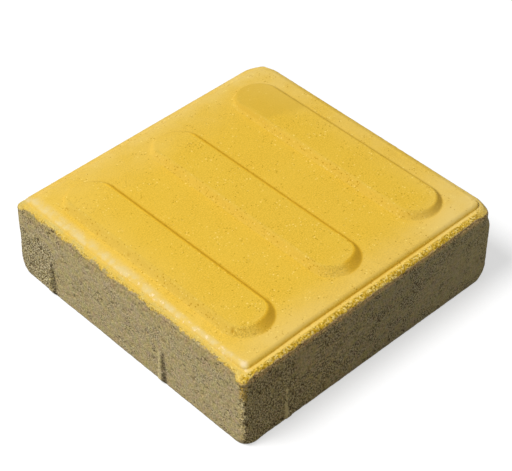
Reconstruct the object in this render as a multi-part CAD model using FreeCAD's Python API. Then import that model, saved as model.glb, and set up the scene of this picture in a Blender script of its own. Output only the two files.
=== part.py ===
import FreeCAD, Part
import os

# Tactile paving slab with three guide bars, in millimetres.
# Origin: middle of the bed face. +Z points up, and the bars run along Y.
# Two concretes are pressed in one mould: a yellow facing on a grey base.

# Slab body, measured face to face, without the spacer nibs
SLAB_SIDE = 200.0
TREAD_HEIGHT = 56.0  # bed face to the tread between the bars
CORNER_RADIUS = 7.0  # upright arrises, in plan
FACING_DEPTH = 4.5  # tread down to the joint between the two concretes

# Edge of the tread: riser, ledge and rounded shoulder
LEDGE_DROP = 3.0  # tread down to the ledge
LEDGE_WIDTH = 6.0  # side face to the foot of the riser
SHOULDER_RADIUS = 3.6  # outer arris of the ledge
RISER_RUN = 0.5  # how far the riser leans in over its height
RISER_CORNER = 4.0  # riser corners, in plan
RISER_ROUND = 2.2  # upper arris of the riser

# Guide bars
BAR_COUNT = 3
BAR_WIDTH = 33.0  # at the foot
BAR_HEIGHT = 4.0
BAR_FLANK_RUN = 3.5  # how far a flank leans in over its height
BAR_TOP_ROUND = 2.0  # upper arris of a bar
BAR_END_MARGIN = 17.0  # side face to the foot of a bar's round end

# Spacer nibs: two on each side face along the bars, one on each side face across their ends
NIB_WIDTH = 7.0  # at the bed face
NIB_PROUD = 2.0  # at the bed face; also the joint kept to the next slab
NIB_HEIGHT = 27.0  # above the bed face, where a nib runs out into the side face
LONG_NIB_PLACES = (30.5, 130.5)  # from the left end of a face along the bars, seen from outside
END_NIB_PLACES = (32.5,)  # from the left end of a face across the bar ends, seen from outside

# Levels and spacings that follow from the sizes above
LEDGE_LEVEL = TREAD_HEIGHT - LEDGE_DROP
JOINT_LEVEL = TREAD_HEIGHT - FACING_DEPTH
BAR_LENGTH = SLAB_SIDE - 2 * BAR_END_MARGIN
BAR_PITCH = (SLAB_SIDE + NIB_PROUD) / BAR_COUNT  # runs on unbroken over the joint
NIB_RADIUS = (NIB_WIDTH ** 2 / 4 + NIB_PROUD ** 2) / (2 * NIB_PROUD)  # at the bed face
NIB_AXIS = SLAB_SIDE / 2 + NIB_PROUD - NIB_RADIUS  # slab axis to a nib's own axis

Z_UP = FreeCAD.Vector(0, 0, 1)


def rounded_outline(width, length, radius, level):
    """Closed rectangle with round corners about the slab axis; a full round end where the radius fills it."""
    x = width / 2 - radius
    y = length / 2 - radius
    centres = [(x, y), (-x, y), (-x, -y), (x, -y)]
    arcs = []
    for turn, (cx, cy) in enumerate(centres):
        centre = FreeCAD.Vector(cx, cy, level)
        arcs.append(Part.makeCircle(radius, centre, Z_UP, 90 * turn, 90 * turn + 90))
    edges = []
    for arc, following in zip(arcs, arcs[1:] + arcs[:1]):
        edges.append(arc)
        start = arc.Vertexes[-1].Point
        end = following.Vertexes[0].Point
        if start.distanceToPoint(end) > 1e-6:
            edges.append(Part.makeLine(start, end))
    return Part.Wire(edges)


def edges_at(shape, level):
    """Edges of a solid that lie flat at one level."""
    flat = []
    for edge in shape.Edges:
        if abs(edge.BoundBox.ZMin - level) < 1e-4 and abs(edge.BoundBox.ZMax - level) < 1e-4:
            flat.append(edge)
    return flat


def raised_pad(width, length, corner, low, high, lean, top_round):
    """Pad with leaning flanks between two levels and a rounded upper arris."""
    foot = rounded_outline(width, length, corner, low)
    crown = rounded_outline(width - 2 * lean, length - 2 * lean, corner - lean, high)
    pad = Part.makeLoft([foot, crown], True, True)
    return pad.makeFillet(top_round, edges_at(pad, high))


def slab_block():
    """Body up to the ledge, with its upright arrises and its shoulder rounded."""
    outline = rounded_outline(SLAB_SIDE, SLAB_SIDE, CORNER_RADIUS, 0)
    block = Part.Face(outline).extrude(Z_UP * LEDGE_LEVEL)
    return block.makeFillet(SHOULDER_RADIUS, edges_at(block, LEDGE_LEVEL))


def tread_pad():
    """Tread between the bars, raised off the ledge by the riser."""
    side = SLAB_SIDE - 2 * LEDGE_WIDTH
    return raised_pad(side, side, RISER_CORNER, LEDGE_LEVEL, TREAD_HEIGHT, RISER_RUN, RISER_ROUND)


def guide_bars():
    """Flat-topped bars with round ends, side by side across X."""
    top = TREAD_HEIGHT + BAR_HEIGHT
    bar = raised_pad(BAR_WIDTH, BAR_LENGTH, BAR_WIDTH / 2, TREAD_HEIGHT, top, BAR_FLANK_RUN, BAR_TOP_ROUND)
    bars = []
    for place in range(BAR_COUNT):
        across = (place - (BAR_COUNT - 1) / 2) * BAR_PITCH
        bars.append(bar.translated(FreeCAD.Vector(across, 0, 0)))
    return bars


def spacer_nib(along):
    """Tapered half-round nib on the side face towards -Y, at a distance along X from the slab axis."""
    taper = NIB_PROUD / NIB_HEIGHT
    reach = 1.2 * NIB_HEIGHT  # ends inside the slab, so the nib dies out in the side face
    foot = FreeCAD.Vector(along, -NIB_AXIS, 0)
    return Part.makeCone(NIB_RADIUS, NIB_RADIUS - taper * reach, reach, foot)


def spacer_nibs():
    """Nibs of all four side faces; opposite faces are the same turned half round the slab axis."""
    nibs = []
    for quarter in range(4):
        places = END_NIB_PLACES if quarter % 2 == 0 else LONG_NIB_PLACES
        for place in places:
            nib = spacer_nib(place - SLAB_SIDE / 2)
            nibs.append(nib.rotated(FreeCAD.Vector(0, 0, 0), Z_UP, 90 * quarter))
    return nibs


def layer_box(low, high):
    """Box wider than the slab that keeps what lies between two levels."""
    width = SLAB_SIDE + 4 * NIB_PROUD
    corner = FreeCAD.Vector(-width / 2, -width / 2, low)
    return Part.makeBox(width, width, high - low, corner)


slab = slab_block().fuse([tread_pad()] + guide_bars()).removeSplitter()

facing = slab.common(layer_box(JOINT_LEVEL, TREAD_HEIGHT + 2 * BAR_HEIGHT))
backing = slab.common(layer_box(0, JOINT_LEVEL)).fuse(spacer_nibs()).removeSplitter()

PIECES = {
    "facing_layer": facing,
    "base_layer": backing,
}

os.makedirs("parts", exist_ok=True)
for name, shape in PIECES.items():
    solid = shape.Solids[0]
    solid.exportStep("parts/" + name + ".step")
    box = solid.optimalBoundingBox()
    print(name, "solids", len(shape.Solids), "valid", solid.isValid(), "litres", round(solid.Volume / 1e6, 4))
    print("  X", round(box.XMin, 3), round(box.XMax, 3), "Y", round(box.YMin, 3), round(box.YMax, 3),
          "Z", round(box.ZMin, 3), round(box.ZMax, 3))
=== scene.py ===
import math

import bpy
import numpy as np
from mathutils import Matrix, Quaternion, Vector


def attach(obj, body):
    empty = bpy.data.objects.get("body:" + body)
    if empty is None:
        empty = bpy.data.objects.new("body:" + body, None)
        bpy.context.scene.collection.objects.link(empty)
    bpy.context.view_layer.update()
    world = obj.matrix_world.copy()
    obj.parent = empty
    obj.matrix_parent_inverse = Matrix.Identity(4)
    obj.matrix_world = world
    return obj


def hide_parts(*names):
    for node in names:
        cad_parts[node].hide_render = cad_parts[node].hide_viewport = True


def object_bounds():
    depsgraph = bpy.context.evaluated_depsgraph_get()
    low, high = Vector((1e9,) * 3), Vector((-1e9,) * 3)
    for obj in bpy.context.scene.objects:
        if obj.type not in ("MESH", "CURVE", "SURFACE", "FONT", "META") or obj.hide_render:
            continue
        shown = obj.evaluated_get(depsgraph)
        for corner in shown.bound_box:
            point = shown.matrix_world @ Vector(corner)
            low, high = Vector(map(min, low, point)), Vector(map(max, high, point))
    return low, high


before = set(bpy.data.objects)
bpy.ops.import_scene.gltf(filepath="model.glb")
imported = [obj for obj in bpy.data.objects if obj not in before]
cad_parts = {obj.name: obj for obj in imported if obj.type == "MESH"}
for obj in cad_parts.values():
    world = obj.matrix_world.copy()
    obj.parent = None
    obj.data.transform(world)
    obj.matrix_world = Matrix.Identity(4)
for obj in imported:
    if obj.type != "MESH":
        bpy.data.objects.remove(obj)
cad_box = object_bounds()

# Lengths are in millimetres here and become metres when a mesh is made. Leans are in degrees from flat.
MM = 0.001

# Slab: its side and the height of its tread come from the frame
NIB_PROUD = 2.0
BAR_HEIGHT = 4.0
HALF_SIDE = round(cad_box[1][0] / MM - NIB_PROUD, 2)
TREAD = round(cad_box[1][2] / MM - BAR_HEIGHT, 2)
MIX_PLANE = TREAD - 4.5

# Height of the tread's grain and waves, and how far it lies below its mould
TREAD_GRAIN = 0.02
TREAD_WAVE = 0.06
TREAD_SUNK = 0.08

# Stepped edge of the tread: the riser's height and turns, and insets from the slab's sides
RISER_HEIGHT = 3.0
LEDGE = TREAD - RISER_HEIGHT
GRID_INSET = 9.0
GRID_HALF = HALF_SIDE - GRID_INSET
RISER_TOP = 9.3
RISER_RUN = 3.2
RISER_TURNS = (12, 24, 36, 47, 57, 66, 74, 81)
RISER_FOOT = 6.0
LEDGE_INSET = 4.1

# Inset, share of the riser's height and lean from the riser's foot out over the ledge
LEDGE_ROWS = ((RISER_FOOT, 0.07, 62), (5.75, 0.02, 30), (5.35, 0.0, 5), (4.75, 0.0, 1))

# How far the tread rolls off towards its riser, on a plain side and along -X
ROLL_WIDTH = 20.0
ROLL_LIMIT = 1.3
ROLL_PLAIN = 0.3
ROLL_WEST = 0.9

# How far the raised tread reaches out along +X and at the front of -Y
EAST_REACH = 1.7
EAST_FROM = 84.0
EAST_FULL = 91.0
EAST_NEAR_CUT = 0.35
EAST_LEDGE = 0.2
EAST_CRISP = 0.65
FRONT_REACH = 0.8
REACH_INSET = 5.35
REACH_POWER = 2.5

# Corner radii in plan, anticlockwise from the (-X, -Y) corner, at five levels from the tread to the bed
CORNERS_TREAD = np.array((4.0, 5.2, 12.0, 3.0))
CORNERS_LEDGE = np.array((4.5, 13.5, 16.0, 6.0))
CORNERS_BODY = np.array((2.2, 6.0, 8.0, 5.0))
CORNERS_LOW = np.array((2.4, 7.5, 7.0, 2.5))
CORNERS_BED = np.array((8.2, 14.0, 9.0, 8.5))
SMALLEST_RADIUS = 1.0

# Share of the change from the shoulder's corners to the body's that is done at the shoulder's foot
TURNED_AT_FOOT = 0.52

# Guide bars. A value of its own for each bar runs from -X to +X
JOINT = 2.0
BAR_PLACES = (-1, 0, 1)
BAR_PITCH = (2 * HALF_SIDE + JOINT) / 3
BAR_HALF_WIDTH = 16.5
BAR_AXIS_HALF = 66.5
BAR_FLANKS = (3.5, 3.5, 3.3)
BAR_CROWNS = (1.0, 1.3, 1.5)
BAR_EAST = (0.8, 0.4, -0.2)
BAR_NEAR = (1.7, 1.9, 0.0)
BAR_SHORTER = (0.4, 0.4, 0.7)
CROWN_NEAR_CUT = 0.6
CROWN_FAR_CUT = 0.7
FOOT_ROUND = 0.3
FOOT_EAST = 1.0

# The tops of the bars fall by a share of their height towards the far ends
BAR_FALL = (0.6, 0.6, 0.4)
FALL_FROM = 60.0
FALL_TO = 80.0

# Steps of the tread's grid, fine and coarse, and where they are fine: the bars' flanks and ends
STEPS_ACROSS = (0.5, 0.9)
STEPS_ALONG = (0.6, 0.95)
FINE_FLANK = (BAR_HALF_WIDTH - 5.5, BAR_HALF_WIDTH + 1.6)
FINE_ENDS = (0.0, 60.0, 84.5)

# Strength of the dirt, of the painted shade tint on the shaded flanks and of the painted shade at the near
# ends of the bars
BAR_DIRT = (1.0, 0.8, 0.3)
BAR_SHADE_TINT = (0.9, 0.9, 0.45)
BAR_END_SHADE = (1.0, 1.0, 0.4)

# Pits in the tread and bars: place and width
PITS = (
    (-81.0, -71.3, 1.2), (-50.0, 67.2, 0.9), (47.5, 15.2, 0.8), (-83.3, 41.4, 0.7), (-82.5, 14.5, 0.8),
    (-79.3, -54.6, 0.6), (56.0, -28.6, 0.6), (-77.0, -3.3, 0.6),
)
PIT_DEPTH = 0.5
PIT_SPREAD = 0.4

# Inset, level and lean down the shoulder: broken back along -X, sloping to a tight arris along -Y
WEST_LINE = (
    (LEDGE_INSET, 52.97, 8), (3.7, 52.88, 18), (3.35, 52.72, 30), (3.05, 52.48, 42), (2.8, 52.15, 52),
    (2.5, 51.7, 58), (2.15, 51.1, 62), (1.75, 50.35, 64), (1.3, 49.5, 66), (0.85, 48.6, 67),
    (0.45, 47.75, 70), (0.15, 47.0, 76), (0.0, 46.3, 85),
)
SOUTH_LINE = (
    (LEDGE_INSET, 52.97, 6), (3.6, 52.92, 9), (3.1, 52.84, 12), (2.6, 52.73, 15), (2.1, 52.58, 19),
    (1.65, 52.4, 25), (1.2, 52.15, 33), (0.8, 51.83, 43), (0.48, 51.43, 54), (0.24, 50.93, 66),
    (0.09, 50.35, 77), (0.02, 49.4, 85), (0.0, 46.3, 90),
)

# The clean round shoulder of the other sides: its radius, the lean of its rows and the levels at its foot
SHOULDER = 3.6
CLEAN_LEAN = 3.0
CLEAN_STEP = 9.3
CLEAN_FOOT = (48.9, 47.6, 46.3)

# Run down the shoulder to where the yellow facing ends, by side and corner; far and right add to it
WEST_BORDER = 1.9
WEST_BORDER_FAR = 0.55
SOUTH_BORDER = 4.15
CLEAN_BORDER = 3.4
TIP_BORDER = 5.2
FRONT_BORDER = 5.8
RIGHT_BORDER = 1.6
LEAST_BORDER = 0.3

# A notch in the border of the -X side: place along Y, width and depth
NOTCH_AT = 63.0
NOTCH_WIDTH = 1.6
NOTCH_DEPTH = 1.0

# How far the facing laps over the base below the colour border, and how deep it dives below that
BORDER_LAP = 0.7
LAP_DIVE = 0.8

# The facing's inner loop on the base, and a run that counts as well above the border
INNER_INSET = 5.0
INNER_RADIUS = 2.0
WELL_ABOVE = 9.0

# Crumbling of the shoulder on any side, and more on the -Y and -X sides
CRUMBLE_LEAST = 0.12
CRUMBLE_SOUTH = 0.88
CRUMBLE_WEST = 0.3
CRUMBLE_RIGHT_CUT = 0.6

# Spacer nibs: ribs that taper out upwards and are bevelled at the foot
NIB_CREST = 1.9
NIB_FLANK = 1.0
NIB_TOP = 28.0
NIB_BEVEL = 3.4
LONG_NIBS = (-69.5, 30.5)
END_NIBS = (-67.5,)

# Base: insets of its top, rows down its sides, then inset, level and lean round the bed arris
TOP_INSETS = (6.0, 4.7)
SIDE_TOP = 45.7
SIDE_FOOT = 0.9
SIDE_STEP = 0.66
BED_ROWS = ((0.1, 0.55, 75), (0.35, 0.22, 45), (0.8, 0.05, 15), (1.8, 0.0, 0))
BED_INSET = 3.0
BED_CELLS = 62
SIDE_CELLS = 4
SIDE_PITS = 900
CAST_GRAIN = 0.12
CAST_WAVE = 0.15
CAST_SUNK = 0.05
PIT_SUNK = 0.7
ARRIS_CHIPS = 0.5
MOST_RELIEF = 1.95


# Random fields

def lump_noise(points, seed):
    """Smooth lumps one unit wide, between about -1 and 1."""
    rng = np.random.default_rng(seed)
    shuffle = rng.permutation(256)
    slopes = rng.normal(size=(256, 3))
    slopes /= np.linalg.norm(slopes, axis=1, keepdims=True)
    cell = np.floor(points).astype(int)
    part = points - cell
    ramp = part ** 3 * (part * (part * 6 - 15) + 10)
    total = np.zeros(len(points))
    for corner in np.ndindex(2, 2, 2):
        at = cell + corner
        pick = shuffle[(shuffle[(shuffle[at[:, 0] & 255] + at[:, 1]) & 255] + at[:, 2]) & 255]
        weight = np.prod(np.where(corner, ramp, 1 - ramp), axis=1)
        total += weight * np.einsum("ij,ij->i", slopes[pick], part - np.array(corner))
    return 1.6 * total


def lumps(points, size, seed, octaves=1):
    """Lumps of one size in millimetres with finer lumps on them."""
    total = np.zeros(len(points))
    for octave in range(octaves):
        total += lump_noise(points / size * 2 ** octave, seed + octave) / 2 ** octave
    return total


def ease(low, high, value):
    """0 below low, 1 above high, smooth between; low may be the larger."""
    t = np.clip((value - low) / (high - low), 0, 1)
    return t * t * (3 - 2 * t)


def soft_min(a, b, width):
    """Smaller of two heights with a rounded arris between them."""
    near = np.maximum(width - np.abs(a - b), 0) / width
    return np.minimum(a, b) - near * near * width / 4


# Outlines of the slab in plan

def spaced(half, dense, fine, coarse):
    """Grid lines from -half to half: fine steps inside the dense ranges, coarse steps elsewhere."""
    lines = [-half]
    while lines[-1] < half:
        inside = any(low <= abs(lines[-1] - middle) <= high for middle, low, high in dense)
        lines.append(lines[-1] + (fine if inside else coarse))
    lines = np.array(lines)
    return (lines + half) * (2 * half) / (lines[-1] + half) - half


def round_corners(x, y, radii):
    """Points of squares moved onto squares with round corners; also their outward directions."""
    half = np.maximum(np.maximum(np.abs(x), np.abs(y)), 1e-6)
    edge = half - 1e-9
    turn = np.where(-y >= edge, 0, np.where(x >= edge, 1, np.where(y >= edge, 2, 3)))
    c, d = np.cos(turn * math.pi / 2), np.sin(turn * math.pi / 2)
    along = (c * x + d * y) / half
    radii = np.broadcast_to(radii, (len(x), 4))
    radius = np.maximum(radii[np.arange(len(x)), np.where(along < 0, turn, (turn + 1) % 4)], 1e-3)
    straight = half - radius
    s = along * (straight + radius * math.pi / 4)
    angle = np.maximum(np.abs(s) - straight, 0) / radius
    px = np.sign(s) * (np.minimum(np.abs(s), straight) + radius * np.sin(angle))
    py = -straight - radius * np.cos(angle)
    nx, ny = np.sign(s) * np.sin(angle), -np.cos(angle)
    points = np.stack([c * px - d * py, d * px + c * py], 1)
    return points, np.stack([c * nx - d * ny, d * nx + c * ny], 1)


def edge_loop(inset, radii, spacing):
    """Points and outward directions round the slab, anticlockwise from its (-X, -Y) corner."""
    along_x, along_y = spacing
    end_x, end_y = np.ones(len(along_x) - 1), np.ones(len(along_y) - 1)
    u, v = along_x / along_x[-1], along_y / along_y[-1]
    x = np.concatenate([u[:-1], end_y, u[:0:-1], -end_y])
    y = np.concatenate([-end_x, v[:-1], end_x, v[:0:-1]])
    return round_corners(x * (HALF_SIDE - inset), y * (HALF_SIDE - inset), radii)


def further_in(radii, inset):
    """Corner radii of a loop that lies further in."""
    return np.maximum(radii - 0.5 * inset, SMALLEST_RADIUS)


def from_corner(plan, side_x, side_y):
    """How far points lie from one corner of the slab."""
    return np.hypot(plan[:, 0] - side_x * HALF_SIDE, plan[:, 1] - side_y * HALF_SIDE)


def slope(outward, lean):
    """Outward direction of a surface that leans from flat (0) to upright (90)."""
    a = np.radians(lean)
    return np.column_stack([outward * np.sin(a)[:, None], np.cos(a)])


# Meshes

def add_object(name, data):
    """Object in the scene."""
    thing = bpy.data.objects.new(name, data)
    bpy.context.scene.collection.objects.link(thing)
    return thing


class Loops:
    """Points of a piece, one loop after another, with the marks that its material reads at them."""

    def __init__(self, **usual):
        self.usual = usual
        self.points = []
        self.marks = {name: [] for name in usual}

    def add(self, points, **marks):
        """Put a loop after the others; a mark that isn't given has its usual value."""
        self.points.append(points)
        for name, value in self.usual.items():
            self.marks[name].append(np.broadcast_to(marks.get(name, value), len(points)))

    def make_piece(self, name, faces, material):
        """Mesh object in metres, shaded smooth, with its marks."""
        mesh = bpy.data.meshes.new(name)
        mesh.from_pydata((np.concatenate(self.points) * MM).tolist(), [], faces)
        mesh.shade_smooth()
        mesh.update()
        mesh.materials.append(material)
        for mark_name, values in self.marks.items():
            numbers = np.concatenate(values).astype(np.float32)
            mesh.attributes.new(mark_name, "FLOAT", "POINT").data.foreach_set("value", numbers)
        return add_object(name, mesh)


def strips(count, loops, start):
    """Quads between loops of the same number of points, stored one after another."""
    k = np.arange(count)
    after = (k + 1) % count
    quads = []
    for row in range(loops - 1):
        a = start + row * count
        b = a + count
        quads.append(np.stack([a + k, b + k, b + after, a + after], 1))
    return np.concatenate(quads)


def grid_rim(index):
    """Points round the edge of a grid, anticlockwise from its (-X, -Y) corner."""
    return np.concatenate([index[:-1, 0], index[-1, :-1], index[:0:-1, -1], index[0, :0:-1]])


# Yellow facing

def guide_bars(x, y):
    """Height of the guide bars above the tread; marks of flanks to -X, painted shade on flanks and near ends,
    dirt.
    """
    height, west, lee, ends, dirt = np.zeros((5, len(x)))
    for bar, place in enumerate(BAR_PLACES):
        side = x - place * BAR_PITCH
        end = np.sign(y) * np.maximum(np.abs(y) - BAR_AXIS_HALF, 0)
        run = np.maximum(np.hypot(side, end), 1e-3)
        to_x, to_y = side / run, end / run
        near, far, east = np.maximum(-to_y, 0), np.maximum(to_y, 0), np.maximum(to_x, 0) ** 2
        depth = BAR_HALF_WIDTH + BAR_EAST[bar] * east - BAR_SHORTER[bar] * near - run
        flank = BAR_FLANKS[bar] + BAR_NEAR[bar] * near ** 2
        crown = BAR_CROWNS[bar] * (1 - CROWN_NEAR_CUT * near) * (1 - CROWN_FAR_CUT * far)
        top = BAR_HEIGHT * (1 - BAR_FALL[bar] * ease(FALL_FROM, FALL_TO, y))
        ramp = soft_min(depth * BAR_HEIGHT / flank, top, crown)
        foot = FOOT_ROUND + FOOT_EAST * east * (1 - near)
        height = np.maximum(height, -soft_min(-ramp, np.zeros(len(x)), foot))

        band = ease(-1.0, 0.1, depth) * ease(flank + 1.6, flank + 0.3, depth)
        west = np.maximum(west, band * ease(0.3, 0.8, -to_x) * ease(0.7, 0.2, to_y))
        # Painted shade: a saturating tint on the flanks that face away from the lamp
        lee = np.maximum(lee, BAR_SHADE_TINT[bar] * band * ease(0.5, -0.1, -to_x) * ease(0.45, 0.0, to_y))
        # Painted shade: the near ends, which face away from the lamp, are darkened
        ends = np.maximum(ends, BAR_END_SHADE[bar] * band * ease(-0.35, -0.85, to_y) * ease(-0.6, 0.2, to_x))
        sheltered = ease(-0.99, -0.9, to_x) * ease(0.0, -0.35, to_x) * ease(-0.1, -0.3, to_y)
        dirt = np.maximum(dirt, BAR_DIRT[bar] * band * sheltered)
    return height, west, lee, ends, dirt


def tread_pits(x, y):
    """1 in the single pits of the tread, 0 elsewhere."""
    pit = np.zeros(len(x))
    for px, py, wide in PITS:
        pit = np.maximum(pit, np.exp(-((x - px) ** 2 + (y - py) ** 2) / (PIT_SPREAD * wide * wide)))
    return pit


def tread_roll(x, y, inset):
    """How far the tread falls away towards its riser; most along the -X edge."""
    width = ROLL_WIDTH - GRID_INSET
    near = np.clip((ROLL_WIDTH - inset) / width, 0, ROLL_LIMIT) ** 2
    west = np.clip((ROLL_WIDTH - (HALF_SIDE + x)) / width, 0, ROLL_LIMIT) ** 2
    return ROLL_PLAIN * near + (ROLL_WEST - ROLL_PLAIN) * west * ease(-95, -60, y)


def reach_out(plan, inset):
    """The raised tread reaches out over the ledge along +X and at the front of -Y."""
    x, y = plan.T
    raised = np.clip(inset / REACH_INSET, 0, 1) ** REACH_POWER
    east = EAST_REACH * np.clip((x - EAST_FROM) / (EAST_FULL - EAST_FROM), 0, 1) * raised
    east = east * (1 - EAST_NEAR_CUT * ease(-78, -93, y))
    front = FRONT_REACH * ease(-45, -80, x) * ease(-84, -93, y) * raised
    return plan + np.column_stack([east, -front])


def riser_rows():
    """Inset, share of the riser's height and lean from the tread down to the ledge."""
    rows = []
    for turn in RISER_TURNS:
        c, d = math.cos(math.radians(turn)), math.sin(math.radians(turn))
        rows.append((RISER_TOP - RISER_RUN * d, c, math.degrees(math.atan2(RISER_HEIGHT * d, RISER_RUN * c))))
    return rows + list(LEDGE_ROWS)


def clean_row(row):
    """Inset, level and lean of one row down a clean round shoulder."""
    if row >= len(WEST_LINE) - len(CLEAN_FOOT):
        return 0.0, CLEAN_FOOT[row - len(WEST_LINE)], 90.0
    lean = CLEAN_LEAN + CLEAN_STEP * row
    a = math.radians(lean)
    return SHOULDER * (1 - math.sin(a)), LEDGE - SHOULDER * (1 - math.cos(a)), lean


def border_run(plan, west, south, clean, tip, front):
    """Run down the shoulder to the ragged end of the facing."""
    y = plan[:, 1]
    flat = np.column_stack([plan, np.zeros(len(plan))])
    border = west * (WEST_BORDER + WEST_BORDER_FAR * ease(-20, 30, y))
    border = border + south * SOUTH_BORDER + clean * CLEAN_BORDER
    border = border + tip * (TIP_BORDER - border) + front * (FRONT_BORDER - border)
    border += (1 - 0.55 * south) * (0.7 * lumps(flat, 14.0, 31) + 0.5 * lumps(flat, 5.0, 33))
    border += RIGHT_BORDER * ease(17, 6, from_corner(plan, 1, -1))
    border -= NOTCH_DEPTH * west * np.exp(-(((y - NOTCH_AT) / NOTCH_WIDTH) ** 2))
    return np.maximum(border, LEAST_BORDER)


def shoulder_rings(spacing):
    """Loops down the shoulder: plan, outward, level, lean, run below the colour border and share of -Y."""
    rings = []
    run = 0.0
    for row in range(len(WEST_LINE)):
        lines = WEST_LINE[row], SOUTH_LINE[row], clean_row(row)
        corners = CORNERS_LEDGE + TURNED_AT_FOOT * ease(6.5, 10.5, row) * (CORNERS_BODY - CORNERS_LEDGE)
        loops = [edge_loop(line[0], further_in(corners, line[0]), spacing) for line in lines]
        plan, outward = loops[0]
        tip = ease(13, 4, from_corner(plan, -1, 1))
        front = ease(11, 3, from_corner(plan, -1, -1))
        clean = ease(-0.5, 0.5, outward[:, 0] + outward[:, 1]) * (1 - tip)
        south = ease(-0.6, 0.6, outward[:, 0] - outward[:, 1])
        south = np.maximum(south, np.maximum(tip, front)) * (1 - clean)
        shares = 1 - clean - south, south, clean
        plan = sum(share[:, None] * loop[0] for share, loop in zip(shares, loops))
        plan = reach_out(plan, HALF_SIDE - np.max(np.abs(plan), axis=1))
        level = sum(share * line[1] for share, line in zip(shares, lines))
        lean = sum(share * line[2] for share, line in zip(shares, lines))
        points = np.column_stack([plan, level])
        if rings:
            run = run + np.linalg.norm(points - last, axis=1)
        last = points
        below = run - border_run(plan, *shares, tip, front)
        rings.append((plan, outward, level, lean, below, south))
    return rings


def painted_rim_shade(lean, outward):
    """Painted shade: how much darker the grey is painted where the broken rim tips up to the lamp, so it is
    no brighter than the upright side.
    """
    a = np.radians(lean)
    west = (0.62 + 0.30 * ease(56, 68, lean)) * (1 - 1 / (np.sin(a) + 1.9 * np.cos(a)))
    south = 0.65 * (1 - 1 / (1 + 4 * np.maximum(np.cos(a) - 0.17, 0)))
    to_x, to_y = outward.T
    return np.where(to_x < to_y, west * ease(0.3, 0.8, -to_x), south * ease(0.3, 0.8, -to_y))


def crumbling(outward):
    """How crumbled the shoulder is: most on the -Y side, some on the -X side, little on the others."""
    to_x, to_y = outward.T
    return CRUMBLE_LEAST + CRUMBLE_SOUTH * ease(0.3, 0.9, -to_y) + CRUMBLE_WEST * ease(0.3, 0.9, -to_x)


def add_tread(facing, spacing):
    """Grid of points over the tread and its bars."""
    x, y = (lines.ravel() for lines in np.meshgrid(*spacing, indexing="ij"))
    square = np.maximum(np.abs(x), np.abs(y))
    bend = np.clip((square - 0.75 * GRID_HALF) / (0.25 * GRID_HALF), 0, 1)
    plan, _ = round_corners(x, y, bend[:, None] * further_in(CORNERS_TREAD, GRID_INSET - RISER_FOOT))
    inset = HALF_SIDE - square
    x, y = plan.T
    bars, west, lee, ends, dirt = guide_bars(x, y)
    pit = tread_pits(x, y)
    grid = np.column_stack([reach_out(plan, inset), TREAD - tread_roll(x, y, inset) + bars])
    grain = TREAD_GRAIN * lumps(grid, 2.2, 3, 2) + TREAD_WAVE * lumps(grid, 14.0, 7)
    grid[:, 2] += grain - TREAD_SUNK - PIT_DEPTH * pit
    facing.add(grid, lee=lee, bar_flank=west, near_end=ends, dirt=dirt, pit=pit)


def add_riser(facing, spacing):
    """Loops down the riser and out over the ledge, where the corners turn to the shoulder's."""
    ledge_corners = further_in(CORNERS_LEDGE, RISER_FOOT)
    for inset, share, lean in riser_rows():
        corners = further_in(CORNERS_TREAD, inset - RISER_FOOT)
        out = max(RISER_FOOT - inset, 0.0) / (RISER_FOOT - LEDGE_INSET)
        corners = corners + out * np.maximum(ledge_corners - corners, 0.0)
        plan, outward = edge_loop(inset, corners, spacing)
        east = ease(0.2, 0.8, outward[:, 0])
        foot = LEDGE + EAST_LEDGE * east
        top = TREAD - tread_roll(*plan.T, np.full(len(plan), inset))
        level = foot + share ** (1 - EAST_CRISP * east) * (top - foot)
        points = np.column_stack([reach_out(plan, inset), level])
        grain = 0.03 * (lumps(points, 2.4, 11, 2) + lumps(points, 1.15, 17))
        points = points + slope(outward, np.full(len(plan), lean)) * grain[:, None]
        # Painted shade: a saturating tint on the riser where it faces away from the lamp
        facing.add(points, lee=ease(35, 70, lean) * ease(0.6, 0.2, -outward[:, 0]))


def add_shoulder(facing, spacing):
    """Crumbled loops down the shoulder, which dive into the base below the border."""
    for plan, outward, level, lean, below, south in shoulder_rings(spacing):
        points = np.column_stack([plan, level])
        early = ease(-60, 0, plan[:, 0])
        crumble = ease(5 - 2.5 * early, 13 - 4 * early, lean) * crumbling(outward)
        crumble *= 1 - CRUMBLE_RIGHT_CUT * ease(18, 6, from_corner(plan, 1, -1))
        crust = (0.06 + 0.3 * crumble) * (0.6 * lumps(points, 2.4, 11, 2) + 0.8 * lumps(points, 1.3, 17))
        crust += 0.05 * crumble - LAP_DIVE * ease(BORDER_LAP + 0.2, BORDER_LAP + 2.2, below)
        points = points + slope(outward, lean) * crust[:, None]
        above = -below * (1 + 1.2 * south)
        # The rim mark holds painted shade for the grey below the border
        facing.add(points, crumble=crumble, above_border=above, rim=painted_rim_shade(lean, outward))


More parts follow.
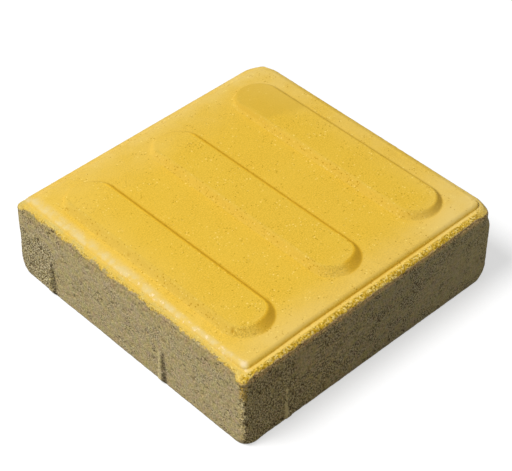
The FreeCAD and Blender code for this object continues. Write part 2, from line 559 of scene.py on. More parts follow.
def facing_layer(material):
    """Yellow facing: tread with its bars, riser, ledge and crumbled shoulder."""
    flanks = [(place * BAR_PITCH, *FINE_FLANK) for place in BAR_PLACES]
    along_x = spaced(GRID_HALF, flanks, *STEPS_ACROSS)
    along_y = spaced(GRID_HALF, [FINE_ENDS], *STEPS_ALONG)
    spacing = along_x, along_y
    nx, ny = len(along_x), len(along_y)
    facing = Loops(
        crumble=0.0, above_border=WELL_ABOVE, lee=0.0, rim=0.0, bar_flank=0.0, near_end=0.0, dirt=0.0, pit=0.0
    )
    add_tread(facing, spacing)
    add_riser(facing, spacing)
    add_shoulder(facing, spacing)
    plan, _ = edge_loop(INNER_INSET, np.full(4, INNER_RADIUS), spacing)
    facing.add(np.column_stack([plan, np.full(len(plan), MIX_PLANE)]))

    index = np.arange(nx * ny).reshape(nx, ny)
    tread = np.stack([index[:-1, :-1], index[1:, :-1], index[1:, 1:], index[:-1, 1:]], -1).reshape(-1, 4)
    rim = grid_rim(index)
    count = len(rim)
    first = nx * ny + np.arange(count)
    rim_quads = np.stack([rim, first, np.roll(first, -1), np.roll(rim, -1)], 1)
    edge = strips(count, len(facing.points) - 1, nx * ny)
    faces = np.concatenate([tread, rim_quads, edge]).tolist()
    last = first + (len(facing.points) - 2) * count
    faces.append(last.tolist()[::-1])
    return facing.make_piece("facing_layer_pressed", faces, material)


# Grey base

def nib_relief(plan, outward, level):
    """How far the spacer nibs stand out, with marks for their crests, where a highlight is painted, and for
    the painted shade on their shaded flanks.
    """
    relief, crest, shade = np.zeros((3, len(plan)))
    rest = max(1 - level / NIB_TOP, 0)
    proud = NIB_PROUD * rest ** 0.6 * min(1, level / NIB_BEVEL)
    half = NIB_CREST * (0.35 + 0.65 * rest)
    points = np.column_stack([plan, np.full(len(plan), level)])
    wander = 0.35 * lumps(points, 3.0, 81, 2)
    for turn in range(4):
        c, d = math.cos(turn * math.pi / 2), math.sin(turn * math.pi / 2)
        along = c * plan[:, 0] + d * plan[:, 1]
        facing = d * outward[:, 0] - c * outward[:, 1]
        there = (facing > 0.99) * ease(0.0, 0.15, rest)
        for place in (LONG_NIBS if turn % 2 else END_NIBS):
            side = along - place + wander
            relief = np.maximum(relief, there * proud * ease(half + NIB_FLANK, half, np.abs(side)))
            if turn % 2:
                # Painted highlight, with some pale dust, on the crest
                crest = np.maximum(crest, there * ease(half + 0.6, half - 0.8, np.abs(side + 0.4)))
                # Painted shade on the flank that faces away from the lamp
                dark = ease(half - 0.6, half + 0.4, side) * ease(half + 3.2, half + 1.5, side)
                shade = np.maximum(shade, there * dark)
            else:
                # Painted highlight on the end nib's flank towards the lamp
                crest = np.maximum(crest, there * ease(1.4, 0.5, np.abs(side + half + 0.3)))
    return relief, crest, shade


def roughness(points):
    """How open the grey mix is: most at the far foot of -X, along the front arris and low on -Y."""
    x, y, z = points.T
    west = ease(-96, -99, x)
    south = ease(-96, -99, y)
    rough = 0.55 + 0.35 * lumps(points, 15.0, 91, 2)
    rough += west * 1.5 * ease(52, 84, y) * ease(48, 26, z)
    low_front = 0.8 * ease(-10, -90, x) * ease(46, 18, z)
    rough += south * (0.45 + 0.35 * lumps(points, 22.0, 93) - 0.1 * ease(0, 70, x) + low_front)
    return np.clip(rough + 0.7 * ease(5, 1.5, x + y + 2 * HALF_SIDE), 0.2, 1.7)


def side_pits(count):
    """Places and widths of the open pores in the side faces."""
    rng = np.random.default_rng(5)
    at = np.column_stack([rng.uniform(-HALF_SIDE, HALF_SIDE, (count, 2)), rng.uniform(2, 50, count)])
    wall = rng.integers(0, 4, count)
    for number, (axis, side) in enumerate(((1, -1), (0, 1), (1, 1), (0, -1))):
        at[wall == number, axis] = side * HALF_SIDE
    return at, rng.uniform(0.5, 1.5, count)


def pit_hollow(points, level, pits):
    """1 in the open pores that this loop runs through, 0 elsewhere."""
    hollow = np.zeros(len(points))
    for at, wide in zip(*pits):
        if abs(at[2] - level) < 2 * wide:
            apart = np.sum((points - at) ** 2, 1)
            hollow = np.maximum(hollow, np.exp(-apart / (0.5 * wide * wide)))
    return hollow


def base_rings(spacing):
    """Loops from the top of the base down to its bed, in the form that shoulder_rings gives."""
    rings = []
    for inset in TOP_INSETS:
        plan, outward = edge_loop(inset, further_in(CORNERS_LEDGE, inset), spacing)
        none = np.zeros(len(plan))
        rings.append((plan, outward, none + MIX_PLANE, none, none - WELL_ABOVE, none))
    rings += shoulder_rings(spacing)[2:]
    sides = [(0.0, level, 90) for level in np.arange(SIDE_TOP, SIDE_FOOT, -SIDE_STEP)]
    for inset, level, lean in sides + list(BED_ROWS):
        turning = (1 - TURNED_AT_FOOT) * ease(39.5, 45.5, level)
        corners = CORNERS_BODY + turning * (CORNERS_LEDGE - CORNERS_BODY)
        corners = corners + ease(34, 10, level) * (CORNERS_LOW - CORNERS_BODY)
        corners = corners + max(1 - level / 9, 0) ** 2 * (CORNERS_BED - CORNERS_LOW)
        plan, outward = edge_loop(inset, further_in(corners, inset), spacing)
        rings.append((plan, outward, none + level, none + lean, none + WELL_ABOVE, none))
    return rings


def add_sides(base, rings):
    """Rough cast side faces with their pores and nibs."""
    pits = side_pits(SIDE_PITS)
    for plan, outward, level, lean, below, south in rings:
        points = np.column_stack([plan, level])
        cast = CAST_GRAIN * (lumps(points, 3.2, 51, 2) + lumps(points, 1.25, 57))
        cast += CAST_WAVE * lumps(points, 19.0, 59) - CAST_SUNK
        hollow = pit_hollow(points, level[0], pits)
        rough = roughness(points)
        arris = ease(4.5, 1.5, plan[:, 0] + plan[:, 1] + 2 * HALF_SIDE)
        relief = np.sin(np.radians(lean)) * ((0.6 + 0.5 * rough) * cast - PIT_SUNK * hollow)
        relief -= ARRIS_CHIPS * arris * np.maximum(lumps(points, 1.7, 61, 2), 0)
        crest = shade = 0.0
        if lean[0] == 90:
            rib, crest, shade = nib_relief(plan, outward, level[0])
            relief = np.minimum(relief + rib, MOST_RELIEF)
        elif level[0] > 40:
            relief -= 0.06 + (0.45 + 0.35 * south) * ease(BORDER_LAP + 1.5, BORDER_LAP - 0.3, below)
        normal = slope(outward, lean)
        if level[0] < 10:
            normal[:, 2] *= -1
        # Painted shade for the grey of the rim where it tips up to the lamp
        rim = painted_rim_shade(lean, outward) * (level > 40)
        points = points + normal * relief[:, None]
        base.add(points, hollow=hollow, crest=crest, shade=shade, rough=rough, rim=rim)
    base.points[-1][:, 2] = 0.0
    base.points[-2][:, 2] = np.maximum(base.points[-2][:, 2], 0.0)


def base_layer(material):
    """Grey base: rough side faces with spacer nibs, and a plain bed face."""
    half = HALF_SIDE - BED_INSET
    lines = np.linspace(-half, half, BED_CELLS * SIDE_CELLS + 1)
    rings = base_rings((lines, lines))
    base = Loops(hollow=0.0, crest=0.0, shade=0.0, rough=0.0, rim=0.0)
    add_sides(base, rings)
    bed_lines = np.linspace(-half, half, BED_CELLS + 1)
    gx, gy = np.meshgrid(bed_lines, bed_lines, indexing="ij")
    bed = np.column_stack([gx.ravel(), gy.ravel(), np.zeros(gx.size)])
    bed[:, 2] = np.clip(0.12 + 0.12 * lumps(bed, 11.0, 71, 3), 0, 0.4)
    base.add(bed)

    count = 4 * BED_CELLS * SIDE_CELLS
    index = len(rings) * count + np.arange(len(bed)).reshape(BED_CELLS + 1, BED_CELLS + 1)
    quads = np.stack([index[:-1, :-1], index[:-1, 1:], index[1:, 1:], index[1:, :-1]], -1).reshape(-1, 4)
    faces = np.concatenate([quads, strips(count, len(rings), 0)]).tolist()
    rim = grid_rim(index).tolist()
    last = (len(rings) - 1) * count
    for k, here in enumerate(rim):
        ring = [last + (k * SIDE_CELLS + step) % count for step in range(SIDE_CELLS + 1)]
        faces.append([rim[(k + 1) % len(rim)]] + ring[::-1] + [here])
    faces.append(list(range(count)))
    return base.make_piece("base_layer_cast", faces, material)


# Shader helpers

def set_or_link(tree, socket, value):
    """Give an input socket a value, or link another socket to it."""
    if isinstance(value, bpy.types.NodeSocket):
        tree.links.new(value, socket)
    else:
        socket.default_value = value


def put(tree, kind, settings=None, **inputs):
    """Node in a tree. Inputs are named by their labels, or by i and their number."""
    node = tree.nodes.new(kind)
    for key, value in (settings or {}).items():
        setattr(node, key, value)
    for key, value in inputs.items():
        set_or_link(tree, node.inputs[int(key[1:]) if key[1:].isdigit() else key], value)
    return node


def calc(tree, operation, a, b=0.0):
    """Sum, product or the like of two values."""
    return put(tree, "ShaderNodeMath", {"operation": operation}, i0=a, i1=b).outputs[0]


def times(tree, *values):
    """Product of values."""
    total = values[0]
    for value in values[1:]:
        total = calc(tree, "MULTIPLY", total, value)
    return total


def less(tree, value):
    """1 less a value."""
    return calc(tree, "SUBTRACT", 1.0, value)


def fade(tree, value, low, high, start=0.0, end=1.0):
    """Value eased from the range low to high, to the range start to end."""
    node = put(tree, "ShaderNodeMapRange", {"interpolation_type": "SMOOTHSTEP"}, Value=value)
    for key, number in (("From Min", low), ("From Max", high), ("To Min", start), ("To Max", end)):
        set_or_link(tree, node.inputs[key], number)
    return node.outputs[0]


def blend(tree, factor, a, b, kind="MIX"):
    """Mix of two colours."""
    node = put(tree, "ShaderNodeMix", {"data_type": "RGBA", "blend_type": kind}, i0=factor, i6=a, i7=b)
    return node.outputs[2]


def noise(tree, place, size, detail, rough):
    """Noise with lumps of one size in millimetres."""
    scale = calc(tree, "DIVIDE", 1.0, size)
    return put(tree, "ShaderNodeTexNoise", Vector=place, Scale=scale, Detail=detail, Roughness=rough)


def parts(tree, place):
    """The three coordinates of a place."""
    return put(tree, "ShaderNodeSeparateXYZ", Vector=place).outputs


def mark(tree, name):
    """A number kept at the points of a piece."""
    return put(tree, "ShaderNodeAttribute", {"attribute_name": name}).outputs["Fac"]


def new_group(name, inputs, outputs):
    """Node group. Place is a vector, Colour is a colour, and any other input or output is a number."""
    tree = bpy.data.node_groups.new(name, "ShaderNodeTree")
    for way, labels in (("INPUT", inputs), ("OUTPUT", outputs)):
        for label in labels:
            kind = {"Place": "Vector", "Colour": "Color"}.get(label, "Float")
            tree.interface.new_socket(label, in_out=way, socket_type="NodeSocket" + kind)
    return tree, tree.nodes.new("NodeGroupInput").outputs, tree.nodes.new("NodeGroupOutput").inputs


def use_group(tree, group, **inputs):
    """Outputs of a group placed in a tree."""
    return put(tree, "ShaderNodeGroup", {"node_tree": group}, **inputs).outputs


# Effects of concrete, as node groups

def concrete_grain():
    """Sand grain and cloudy patches of pressed concrete."""
    tree, given, out = new_group("concrete grain", ("Place", "Grain", "Patch"), ("Grain", "Patch", "Height"))
    fine = noise(tree, given["Place"], given["Grain"], 3.0, 0.65)
    wide = noise(tree, given["Place"], given["Patch"], 4.0, 0.55)
    tree.links.new(fade(tree, fine.outputs[0], 0.28, 0.72), out["Grain"])
    tree.links.new(fade(tree, wide.outputs[0], 0.3, 0.7), out["Patch"])
    tree.links.new(fine.outputs[0], out["Height"])
    return tree


def scattered_pores():
    """Round pores or grains in a share of evenly spread places."""
    tree, given, out = new_group("scattered pores", ("Place", "Spacing", "Width", "Share"), ("Mask",))
    warp = put(tree, "ShaderNodeTexNoise", Vector=given["Place"], Scale=0.9, Detail=2.0).outputs["Color"]
    sway = {"operation": "MULTIPLY_ADD"}
    bent = put(tree, "ShaderNodeVectorMath", sway, i0=warp, i1=(0.8, 0.8, 0.8), i2=given["Place"]).outputs[0]
    cells = put(tree, "ShaderNodeTexVoronoi", Vector=bent, Scale=calc(tree, "DIVIDE", 1.0, given["Spacing"]))
    lots = put(tree, "ShaderNodeSeparateColor", Color=cells.outputs["Color"])
    chosen = calc(tree, "LESS_THAN", lots.outputs[0], given["Share"])
    size = times(tree, given["Width"], fade(tree, lots.outputs[1], 0, 1, 0.5, 1.2))
    near = fade(tree, cells.outputs["Distance"], size, times(tree, size, 0.4))
    tree.links.new(times(tree, near, chosen), out["Mask"])
    return tree


def crumbs_and_gaps():
    """Irregular crumbs of a rough concrete face: 1 in the gaps between them, and 1 on the pale ones."""
    tree, given, out = new_group("crumbs and gaps", ("Place", "Size", "Open"), ("Gaps", "Pale", "Height"))
    apart = put(tree, "ShaderNodeVectorMath", {"operation": "ADD"}, i0=given["Place"], i1=(37.0, 11.0, 53.0))
    lump = noise(tree, given["Place"], given["Size"], 2.0, 0.6).outputs[0]
    other = noise(tree, apart.outputs[0], given["Size"], 2.0, 0.6).outputs[0]
    edge = fade(tree, given["Open"], 0, 1, 0.68, 0.48)
    pale_edge = calc(tree, "ADD", edge, 0.015)
    tree.links.new(fade(tree, lump, edge, calc(tree, "ADD", edge, 0.07)), out["Gaps"])
    tree.links.new(fade(tree, other, pale_edge, calc(tree, "ADD", edge, 0.085)), out["Pale"])
    tree.links.new(calc(tree, "SUBTRACT", other, lump), out["Height"])
    return tree


GRAIN = concrete_grain()
PORES = scattered_pores()
CRUMBS = crumbs_and_gaps()

# Colours of the grey mix and of the stains in it, in linear light
TAN = (0.415, 0.332, 0.132, 1), (0.915, 0.744, 0.342, 1)
PINK = (0.41, 0.322, 0.177, 1), (0.865, 0.691, 0.427, 1)
OLIVE_PATCH = (0.54, 0.45, 0.19, 1)
PALE_GRAIN = (1.0, 0.88, 0.55, 1)
OPEN_PORE = (0.10, 0.067, 0.022, 1)
NEAR_STAIN = (1.62, 1.36, 1.08, 1)
WEST_STAIN = (1.0, 0.955, 0.86, 1)


def grey_mix():
    """Colour and relief of the coarse grey mix: tan and pinkish patches, sand, pale grains, open pores."""
    tree, given, out = new_group("grey mix", ("Place", "Rough"), ("Colour", "Height"))
    place, rough = given["Place"], given["Rough"]
    grain = use_group(tree, GRAIN, Place=place, Grain=1.25, Patch=9.0)
    cloud = use_group(tree, GRAIN, Place=place, Grain=4.5, Patch=30.0)
    open_patch = fade(tree, grain["Patch"], 0.1, 0.9, -0.25, 0.25)
    open_face = calc(tree, "ADD", fade(tree, rough, 0, 1.7, 0.1, 1), open_patch)
    crumbs = use_group(tree, CRUMBS, Place=place, Size=1.0, Open=open_face)
    tan = blend(tree, grain["Grain"], *TAN)
    pink = blend(tree, grain["Grain"], *PINK)
    colour = blend(tree, cloud["Grain"], tan, pink)
    colour = blend(tree, times(tree, cloud["Patch"], 0.2), colour, OLIVE_PATCH)
    sand = put(tree, "ShaderNodeTexNoise", Vector=place, Scale=0.3, Detail=3.0, Roughness=0.6)
    colour = blend(tree, 0.2, colour, sand.outputs["Color"], "OVERLAY")
    pale = times(tree, crumbs["Pale"], fade(tree, rough, 0.6, 1.6, 0.6, 0.95))
    colour = blend(tree, pale, colour, PALE_GRAIN)
    colour = blend(tree, times(tree, crumbs["Gaps"], 0.9), colour, OPEN_PORE)
    tree.links.new(colour, out["Colour"])
    tree.links.new(calc(tree, "ADD", grain["Height"], crumbs["Height"]), out["Height"])
    return tree


def border_stain():
    """Tint of the grey mix just below the facing, warm on the -Y side and slight on the -X side."""
    tree, given, out = new_group("border stain", ("Colour", "Place"), ("Colour",))
    x, y, z = parts(tree, given["Place"])
    near = times(tree, fade(tree, z, 46.5, 51), fade(tree, y, -95, -98))
    west = times(tree, fade(tree, z, 45, 50), fade(tree, x, -94, -96.5))
    colour = blend(tree, near, given["Colour"], NEAR_STAIN, "MULTIPLY")
    tree.links.new(blend(tree, west, colour, WEST_STAIN, "MULTIPLY"), out["Colour"])
    return tree


GREY = grey_mix()
STAIN = border_stain()


def new_material(name):
    """Material with its place in the slab in millimetres."""
    material = bpy.data.materials.new(name)
    material.use_nodes = True
    tree = material.node_tree
    shader = tree.nodes["Principled BSDF"]
    metres = tree.nodes.new("ShaderNodeTexCoord").outputs["Object"]
    place = put(tree, "ShaderNodeVectorMath", {"operation": "SCALE"}, i0=metres, Scale=1 / MM).outputs[0]
    return material, tree, shader, place


def finish_shader(tree, shader, colour, rough, bump, height):
    """Link a concrete's looks to its shader. The bump is its strength and its depth in millimetres."""
    strength, depth = bump
    normal = put(tree, "ShaderNodeBump", Strength=strength, Distance=depth * MM, Height=height).outputs[0]
    tree.links.new(colour, shader.inputs["Base Color"])
    tree.links.new(rough, shader.inputs["Roughness"])
    tree.links.new(normal, shader.inputs["Normal"])
    shader.inputs["Specular IOR Level"].default_value = 0.05


# Yellow facing concrete: colours in linear light

YELLOW_GRAIN = (0.676, 0.418, 0.034, 1), (0.887, 0.577, 0.063, 1)
YELLOW_PATCH = (0.82, 0.54, 0.062, 1)
SKIN = (0.84, 0.60, 0.16, 1)
NEAR_SKIN = (0.86, 0.64, 0.24, 1)
FAR_SKIN = (0.93, 0.71, 0.28, 1)
RIGHT_SKIN = (0.85, 0.65, 0.25, 1)
# Painted sheen and painted glints along the -X edge of the tread
PAINTED_SHEEN = (0.78, 0.62, 0.285, 1)
PAINTED_GLINT = (1.0, 0.78, 0.46, 1)
PAINTED_TIP_GLINT = (1.0, 0.80, 0.48, 1)
WEST_LEDGE = (0.68, 0.53, 0.165, 1)
NEAR_LEDGE = (0.94, 0.685, 0.185, 1)
PALE_SAND = (1.0, 0.78, 0.22, 1)
BAR_FLANK = (0.60, 0.415, 0.075, 1)
# Painted shade: a tint for the shaded flanks and a darkening for the near ends of the bars
PAINTED_SHADE_TINT = (1.15, 1.06, 0.58, 1)
PAINTED_END_SHADE = (0.80, 0.76, 0.62, 1)
SMOOTH_PATCH = (0.66, 0.415, 0.045, 1)
PIN_HOLE = (0.44, 0.215, 0.0, 1)
DIRT_GAP = (0.38, 0.20, 0.0, 1)
DIRT_GRAIN = (1.0, 0.70, 0.10, 1)
CRUMB = (0.74, 0.465, 0.04, 1), (1.0, 0.76, 0.2, 1)
COARSE_GAP = (0.46, 0.255, 0.01, 1)
COARSE_GRAIN = (1.0, 0.82, 0.32, 1)
FINE_GAP = (0.32, 0.18, 0.0, 1)
FRINGE = (0.32, 0.19, 0.03, 1)


def pale_skin(tree, colour, place, grain, cloud):
    """Pale cement skin towards the edges of the tread, weaker on the bars and in two corners."""
    x, y, z = parts(tree, place)
    wide, deep = calc(tree, "ABSOLUTE", x), calc(tree, "ABSOLUTE", y)
    inset = calc(tree, "SUBTRACT", HALF_SIDE, calc(tree, "MAXIMUM", wide, deep))
    patchy = fade(tree, grain["Patch"], 0, 1, 0.5, 1)
    on_bar = times(tree, fade(tree, z, 57, 59.5), fade(tree, y, 60, 20))
    skin = times(
        tree,
        fade(tree, inset, fade(tree, y, 20, 70, 36, 52), 8),
        fade(tree, calc(tree, "ADD", wide, deep), 120, 180, 0.5, 1),
        patchy,
        fade(tree, x, -92, -60, 0.5, 1),
        fade(tree, on_bar, 0, 1, 1, 0.7),
        fade(tree, calc(tree, "SUBTRACT", y, x), 100, 160, 1, 0.55),
        fade(tree, calc(tree, "ADD", x, y), -140, -180, 1, 0.75),
    )
    near = times(tree, fade(tree, y, -72, -92), fade(tree, z, 54.5, 55.5), 0.16)
    far = times(tree, fade(tree, y, 82, 95), fade(tree, cloud["Grain"], 0.1, 0.9, 0.1, 0.25))
    right = times(tree, fade(tree, calc(tree, "SUBTRACT", x, y), 140, 190), patchy, 0.5)
    for share, tint in ((skin, SKIN), (near, NEAR_SKIN), (far, FAR_SKIN), (right, RIGHT_SKIN)):
        colour = blend(tree, share, colour, tint)
    return colour, skin


def painted_sheen_and_ledges(tree, colour, place, cloud):
    """Painted sheen with painted glints along the -X edge and a painted glint at its front tip; a duller
    ledge on the -X side and a paler one on the -Y side.
    """
    x, y, z = parts(tree, place)
    from_west = calc(tree, "ADD", x, HALF_SIDE)
    reach = fade(tree, y, -45, 10, 11, 14.5)
    streak = times(tree, fade(tree, from_west, reach, 8), fade(tree, from_west, 5.6, 7.4))
    painted_sheen = times(tree, streak, fade(tree, cloud["Grain"], 0.1, 0.8, 0.3, 1))
    grains = use_group(tree, CRUMBS, Place=place, Size=2.6, Open=0.55)
    narrow = times(tree, fade(tree, from_west, 9.6, 8), fade(tree, from_west, 5.8, 7))
    narrow = times(tree, narrow, fade(tree, y, 30, -10))
    across = calc(tree, "ABSOLUTE", calc(tree, "SUBTRACT", x, y))
    to_front = fade(tree, calc(tree, "ADD", x, y), -178.5, -182.5)
    tip = times(tree, to_front, fade(tree, across, 4.5, 0.5), fade(tree, z, 54, 55))
    low = fade(tree, z, 55, 53.6)
    west = times(tree, fade(tree, from_west, 6.6, 5.6), low, fade(tree, cloud["Grain"], 0.2, 0.8, 0.3, 1))
    west = times(tree, west, fade(tree, y, -30, 10, 0.7, 0.95))
    near = times(tree, fade(tree, y, -93.5, -95), low, fade(tree, cloud["Grain"], 0.1, 0.9, 0.3, 0.6))
    # Painted sheen: a pale highlight streak along the -X edge
    colour = blend(tree, times(tree, painted_sheen, 0.85), colour, PAINTED_SHEEN)
    # Painted glints: pale spots along the -X edge
    colour = blend(tree, times(tree, grains["Pale"], narrow, 0.7), colour, PAINTED_GLINT)
    # Painted glint at the tread's front tip
    colour = blend(tree, times(tree, tip, 0.6), colour, PAINTED_TIP_GLINT)
    colour = blend(tree, west, colour, WEST_LEDGE)
    return blend(tree, near, colour, NEAR_LEDGE), painted_sheen


def sand_and_pin_holes(tree, colour, place, grain, cloud, painted_sheen):
    """Clusters of pale sand and pin holes, duller bar flanks, painted shade on the bars' shaded flanks and
    near ends, and one smooth patch at a bar's far end.
    """
    x, y, z = parts(tree, place)
    flank = mark(tree, "bar_flank")
    clusters = fade(tree, cloud["Grain"], 0.45, 0.76, 0.1, 1)
    clusters = calc(tree, "MAXIMUM", clusters, times(tree, flank, 1.2))
    sand = use_group(tree, PORES, Place=place, Spacing=1.6, Width=0.4, Share=0.35)[0]
    lone_sand = use_group(tree, PORES, Place=place, Spacing=6.5, Width=0.09, Share=0.5)[0]
    pale = calc(tree, "MAXIMUM", times(tree, sand, clusters, 0.65), times(tree, lone_sand, 0.55))
    colour = blend(tree, pale, colour, PALE_SAND)
    colour = blend(tree, times(tree, flank, 0.4), colour, BAR_FLANK)
    # Painted shade: a saturating tint on the shaded flanks of the bars and the riser
    colour = blend(tree, mark(tree, "lee"), colour, PAINTED_SHADE_TINT, "MULTIPLY")
    # Painted shade: darker near ends of the bars
    colour = blend(tree, mark(tree, "near_end"), colour, PAINTED_END_SHADE, "MULTIPLY")

    wave = fade(tree, grain["Patch"], 0, 1, -5, 5)
    to_far_end = fade(tree, calc(tree, "ADD", y, wave), 38, 47)
    smooth = times(tree, fade(tree, z, 57, 58), fade(tree, x, 50, 53), to_far_end)
    pins = use_group(tree, PORES, Place=place, Spacing=1.25, Width=0.44, Share=0.42)[0]
    lone_pins = use_group(tree, PORES, Place=place, Spacing=7.0, Width=0.09, Share=0.4)[0]
    holes = calc(tree, "MAXIMUM", times(tree, pins, clusters, 0.75), times(tree, lone_pins, 0.6))
    holes = calc(tree, "MAXIMUM", holes, mark(tree, "pit"))
    holes = times(tree, holes, less(tree, smooth), less(tree, painted_sheen))
    colour = blend(tree, times(tree, smooth, 0.5), colour, SMOOTH_PATCH)
    return blend(tree, times(tree, holes, 0.9), colour, PIN_HOLE), holes


def broken_mix(tree, crumbs, place):
    """Colour of the facing where it has crumbled: fine crumbs among coarse ones."""
    coarse = use_group(tree, CRUMBS, Place=place, Size=2.2, Open=0.75)
    colour = blend(tree, crumbs["Pale"], *CRUMB)
    colour = blend(tree, times(tree, coarse["Gaps"], 0.6), colour, COARSE_GAP)
    colour = blend(tree, times(tree, coarse["Pale"], 0.5), colour, COARSE_GRAIN)
    return blend(tree, times(tree, crumbs["Gaps"], 0.85), colour, FINE_GAP)


def grey_below_border(tree, colour, place, crumbs):
    """The facing's colour, dark in its fringe, down to the ragged border, and the grey mix below it with
    painted shade where the rim tips up to the lamp.
    """
    above = mark(tree, "above_border")
    from_west = calc(tree, "ADD", parts(tree, place)[0], HALF_SIDE)
    fringe = times(tree, fade(tree, above, 3, 0.6), fade(tree, from_west, 6, 4.8), crumbs["Gaps"], 0.6)
    colour = blend(tree, fringe, colour, FRINGE)
    grey = use_group(tree, GREY, Place=place, Rough=0.7)["Colour"]
    # Painted shade: the grey is darkened where the rim tips up to the lamp
    grey = blend(tree, 1.0, grey, less(tree, mark(tree, "rim")), "MULTIPLY")
    grey = use_group(tree, STAIN, Colour=grey, Place=place)[0]
    ragged = put(tree, "ShaderNodeTexNoise", Vector=place, Scale=0.24, Detail=4.0, Roughness=0.65).outputs[0]
    swing = times(tree, calc(tree, "SUBTRACT", ragged, 0.5), 11.2)
    return blend(tree, fade(tree, calc(tree, "ADD", above, swing), -0.9, 0.9), grey, colour)


def yellow_facing_concrete():
    """Pressed yellow face mix: grain, pale skin, painted sheen and glints, sand, pin holes, painted shade on
    the bars, dirt and crumbs.
    """
    material, tree, shader, place = new_material("yellow facing concrete")
    grain = use_group(tree, GRAIN, Place=place, Grain=0.8, Patch=22.0)
    cloud = use_group(tree, GRAIN, Place=place, Grain=9.0, Patch=60.0)
    colour = blend(tree, grain["Grain"], *YELLOW_GRAIN)
    colour = blend(tree, times(tree, grain["Patch"], 0.35), colour, YELLOW_PATCH)
    colour, skin = pale_skin(tree, colour, place, grain, cloud)
    colour, painted_sheen = painted_sheen_and_ledges(tree, colour, place, cloud)
    colour, holes = sand_and_pin_holes(tree, colour, place, grain, cloud, painted_sheen)
    dirt = mark(tree, "dirt")
    soil = use_group(tree, CRUMBS, Place=place, Size=1.0, Open=0.75)
    colour = blend(tree, times(tree, dirt, soil["Gaps"], 0.4), colour, DIRT_GAP)
    colour = blend(tree, times(tree, dirt, soil["Pale"], 0.4), colour, DIRT_GRAIN)
    crumble = mark(tree, "crumble")
    crumbs = use_group(tree, CRUMBS, Place=place, Size=1.05, Open=0.72)
    colour = blend(tree, crumble, colour, broken_mix(tree, crumbs, place))
    colour = grey_below_border(tree, colour, place, crumbs)
    height = calc(tree, "SUBTRACT", times(tree, grain["Height"], 0.3), times(tree, holes, 0.12))
    height = calc(tree, "ADD", height, times(tree, crumbs["Height"], crumble, 1.3))
    finish_shader(tree, shader, colour, fade(tree, skin, 0, 1, 0.75, 0.5), (0.6, 0.5), height)
    return material


# Grey base concrete: colours in linear light

# Painted shade for the pores and for the nibs' shaded flanks; painted highlight with some pale dust for the
# nibs' crests
PAINTED_PORE_SHADE = (0.13, 0.095, 0.045, 1)
NIB_SHADE = (0.12, 0.09, 0.055, 1)
NIB_HIGHLIGHT_AND_DUST = (1.0, 0.84, 0.44, 1)
YELLOW_SMEAR = (0.70, 0.45, 0.06, 1)
DRY_PATCH = (0.90, 0.75, 0.35, 1)
WARM_TINT = (1.1, 1.05, 0.94, 1)


def grey_base_concrete():
    """Coarse warm grey base mix with a yellow smear down one arris; painted shade in its pores, on its rim
    and on the nibs' shaded flanks, and a painted highlight with some pale dust on the nibs' crests.
    """
    material, tree, shader, place = new_material("grey base concrete")
    x, y, z = parts(tree, place)
    grey = use_group(tree, GREY, Place=place, Rough=mark(tree, "rough"))
    grain = use_group(tree, GRAIN, Place=place, Grain=1.3, Patch=7.0)
    on_near = fade(tree, y, -95, -98)
    # Painted shade: the grey is darkened where the rim tips up to the lamp
    colour = blend(tree, 1.0, grey["Colour"], less(tree, mark(tree, "rim")), "MULTIPLY")
    # Painted shade: darker colour in the open pores of the sides
    colour = blend(tree, times(tree, mark(tree, "hollow"), 0.6), colour, PAINTED_PORE_SHADE)

    # Painted shade on the nibs' shaded flanks, broken up by the grain
    shade_grain = fade(tree, grain["Grain"], 0.1, 0.9, 1, 0.15)
    colour = blend(tree, times(tree, mark(tree, "shade"), shade_grain), colour, NIB_SHADE)
    # Painted highlight with some pale dust on the nibs' crests, strongest on -Y
    crest = fade(tree, mark(tree, "crest"), fade(tree, y, -96, -98, 0, 0.6), 1)
    highlight_and_dust = times(
        tree,
        fade(tree, grain["Grain"], 0.1, 0.9, 0.05, 0.75),
        fade(tree, y, 20, -10, 0.1, 1),
        fade(tree, y, -96, -98, 1, 2),
    )
    colour = blend(tree, times(tree, crest, highlight_and_dust), colour, NIB_HIGHLIGHT_AND_DUST)

    from_arris = calc(tree, "ADD", calc(tree, "ADD", x, y), 2 * HALF_SIDE)
    on_arris = times(tree, fade(tree, from_arris, 5, 2), fade(tree, z, 34, 43))
    smear = times(tree, on_arris, fade(tree, grain["Grain"], 0.25, 0.7), 0.85)
    colour = blend(tree, smear, colour, YELLOW_SMEAR)
    dry = times(tree, fade(tree, x, 10, 90), on_near, fade(tree, grain["Patch"], 0, 1, 0.1, 0.35))
    colour = blend(tree, dry, colour, DRY_PATCH)
    colour = blend(tree, times(tree, fade(tree, x, 20, -60), on_near), colour, WARM_TINT, "MULTIPLY")
    colour = use_group(tree, STAIN, Colour=colour, Place=place)[0]
    dull = fade(tree, grain["Grain"], 0, 1, 0.95, 0.8)
    finish_shader(tree, shader, colour, dull, (0.5, 0.6), grey["Height"])
    return material


# Pieces

facing = facing_layer(yellow_facing_concrete())
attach(facing, "root")
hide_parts("facing_layer")

base = base_layer(grey_base_concrete())
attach(base, "root")
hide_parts("base_layer")


# Studio, in metres: pale floor, one large soft lamp, even sky and the camera

FLOOR_HALF = 6.0
FLOOR_PAINT = (0.14, 0.14, 0.14, 1), (0.5, 0.5, 0.5, 1)
FLOOR_GLOW = 0.58
SKY_LIGHT = 0.23
WHITE = (1, 1, 1, 1)
LAMP_DIRECTION = Vector((-0.40, 0.13, 0.76))
LAMP_DISTANCE = 2.6
LAMP_WIDTH = 1.1
LAMP_POWER = 60.0
CAMERA_EYE = Vector((-0.52001, -0.58402, 0.74917))
CAMERA_AIM = Vector((-0.00059, -0.00314, 0.030))
CAMERA_ROLL = -1.68
CAMERA_LENS = 125.7
CAMERA_SENSOR = 36.0
CAMERA_SHIFT = (-0.00113, 0.00273)


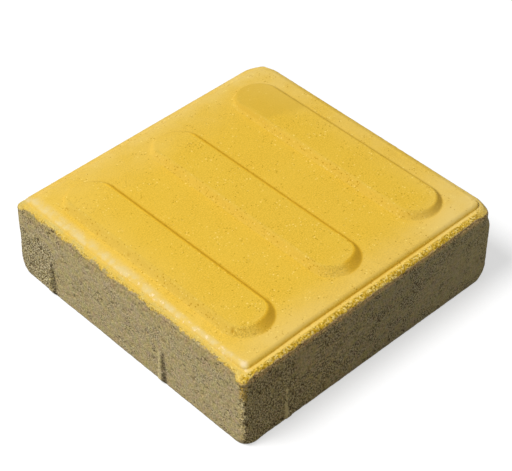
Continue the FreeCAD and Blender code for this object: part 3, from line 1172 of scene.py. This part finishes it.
def shows_background(tree):
    """1 for rays that show the backdrop: straight to the camera, or mirrored or let through by a piece."""
    path = tree.nodes.new("ShaderNodeLightPath").outputs
    mirrored = calc(tree, "MAXIMUM", path["Is Glossy Ray"], path["Is Transmission Ray"])
    return calc(tree, "MAXIMUM", path["Is Camera Ray"], mirrored)


def pale_floor():
    """Floor that looks near white and keeps the slab's shadow."""
    mesh = bpy.data.meshes.new("floor")
    corners = [(x * FLOOR_HALF, y * FLOOR_HALF, 0) for x, y in ((-1, -1), (1, -1), (1, 1), (-1, 1))]
    mesh.from_pydata(corners, [], [(0, 1, 2, 3)])
    floor = add_object("floor", mesh)
    material = bpy.data.materials.new("pale floor")
    material.use_nodes = True
    tree = material.node_tree
    tree.nodes.clear()
    seen = shows_background(tree)
    paint = put(tree, "ShaderNodeBsdfDiffuse", Color=blend(tree, seen, *FLOOR_PAINT))
    glow = put(tree, "ShaderNodeEmission", Color=WHITE, Strength=times(tree, seen, FLOOR_GLOW))
    both = put(tree, "ShaderNodeAddShader", i0=paint.outputs[0], i1=glow.outputs[0])
    put(tree, "ShaderNodeOutputMaterial", Surface=both.outputs[0])
    mesh.materials.append(material)


def soft_lamp():
    """One large round lamp, high on the -X side."""
    data = bpy.data.lights.new("window", "AREA")
    data.shape = "DISK"
    data.size = LAMP_WIDTH
    data.energy = LAMP_POWER
    lamp = add_object("window", data)
    lamp.location = LAMP_DIRECTION.normalized() * LAMP_DISTANCE
    lamp.rotation_mode = "QUATERNION"
    lamp.rotation_quaternion = LAMP_DIRECTION.to_track_quat("Z", "Y")


def even_sky():
    """Dim even sky that looks white behind the slab."""
    world = bpy.data.worlds.new("sky")
    bpy.context.scene.world = world
    world.use_nodes = True
    tree = world.node_tree
    tree.nodes.clear()
    strength = fade(tree, shows_background(tree), 0, 1, SKY_LIGHT, 1)
    sky = put(tree, "ShaderNodeBackground", Color=WHITE, Strength=strength)
    put(tree, "ShaderNodeOutputWorld", Surface=sky.outputs[0])


def photo_camera():
    """Camera at the photograph's own view of the slab."""
    data = bpy.data.cameras.new("camera")
    data.sensor_width = CAMERA_SENSOR
    data.lens = CAMERA_LENS
    data.shift_x, data.shift_y = CAMERA_SHIFT
    camera = add_object("camera", data)
    camera.location = CAMERA_EYE
    camera.rotation_mode = "QUATERNION"
    roll = Quaternion((0, 0, 1), math.radians(CAMERA_ROLL))
    camera.rotation_quaternion = (CAMERA_AIM - CAMERA_EYE).to_track_quat("-Z", "Y") @ roll
    bpy.context.scene.camera = camera


pale_floor()
soft_lamp()
even_sky()
photo_camera()
bpy.context.scene.view_settings.view_transform = "Standard"

bpy.context.view_layer.update()
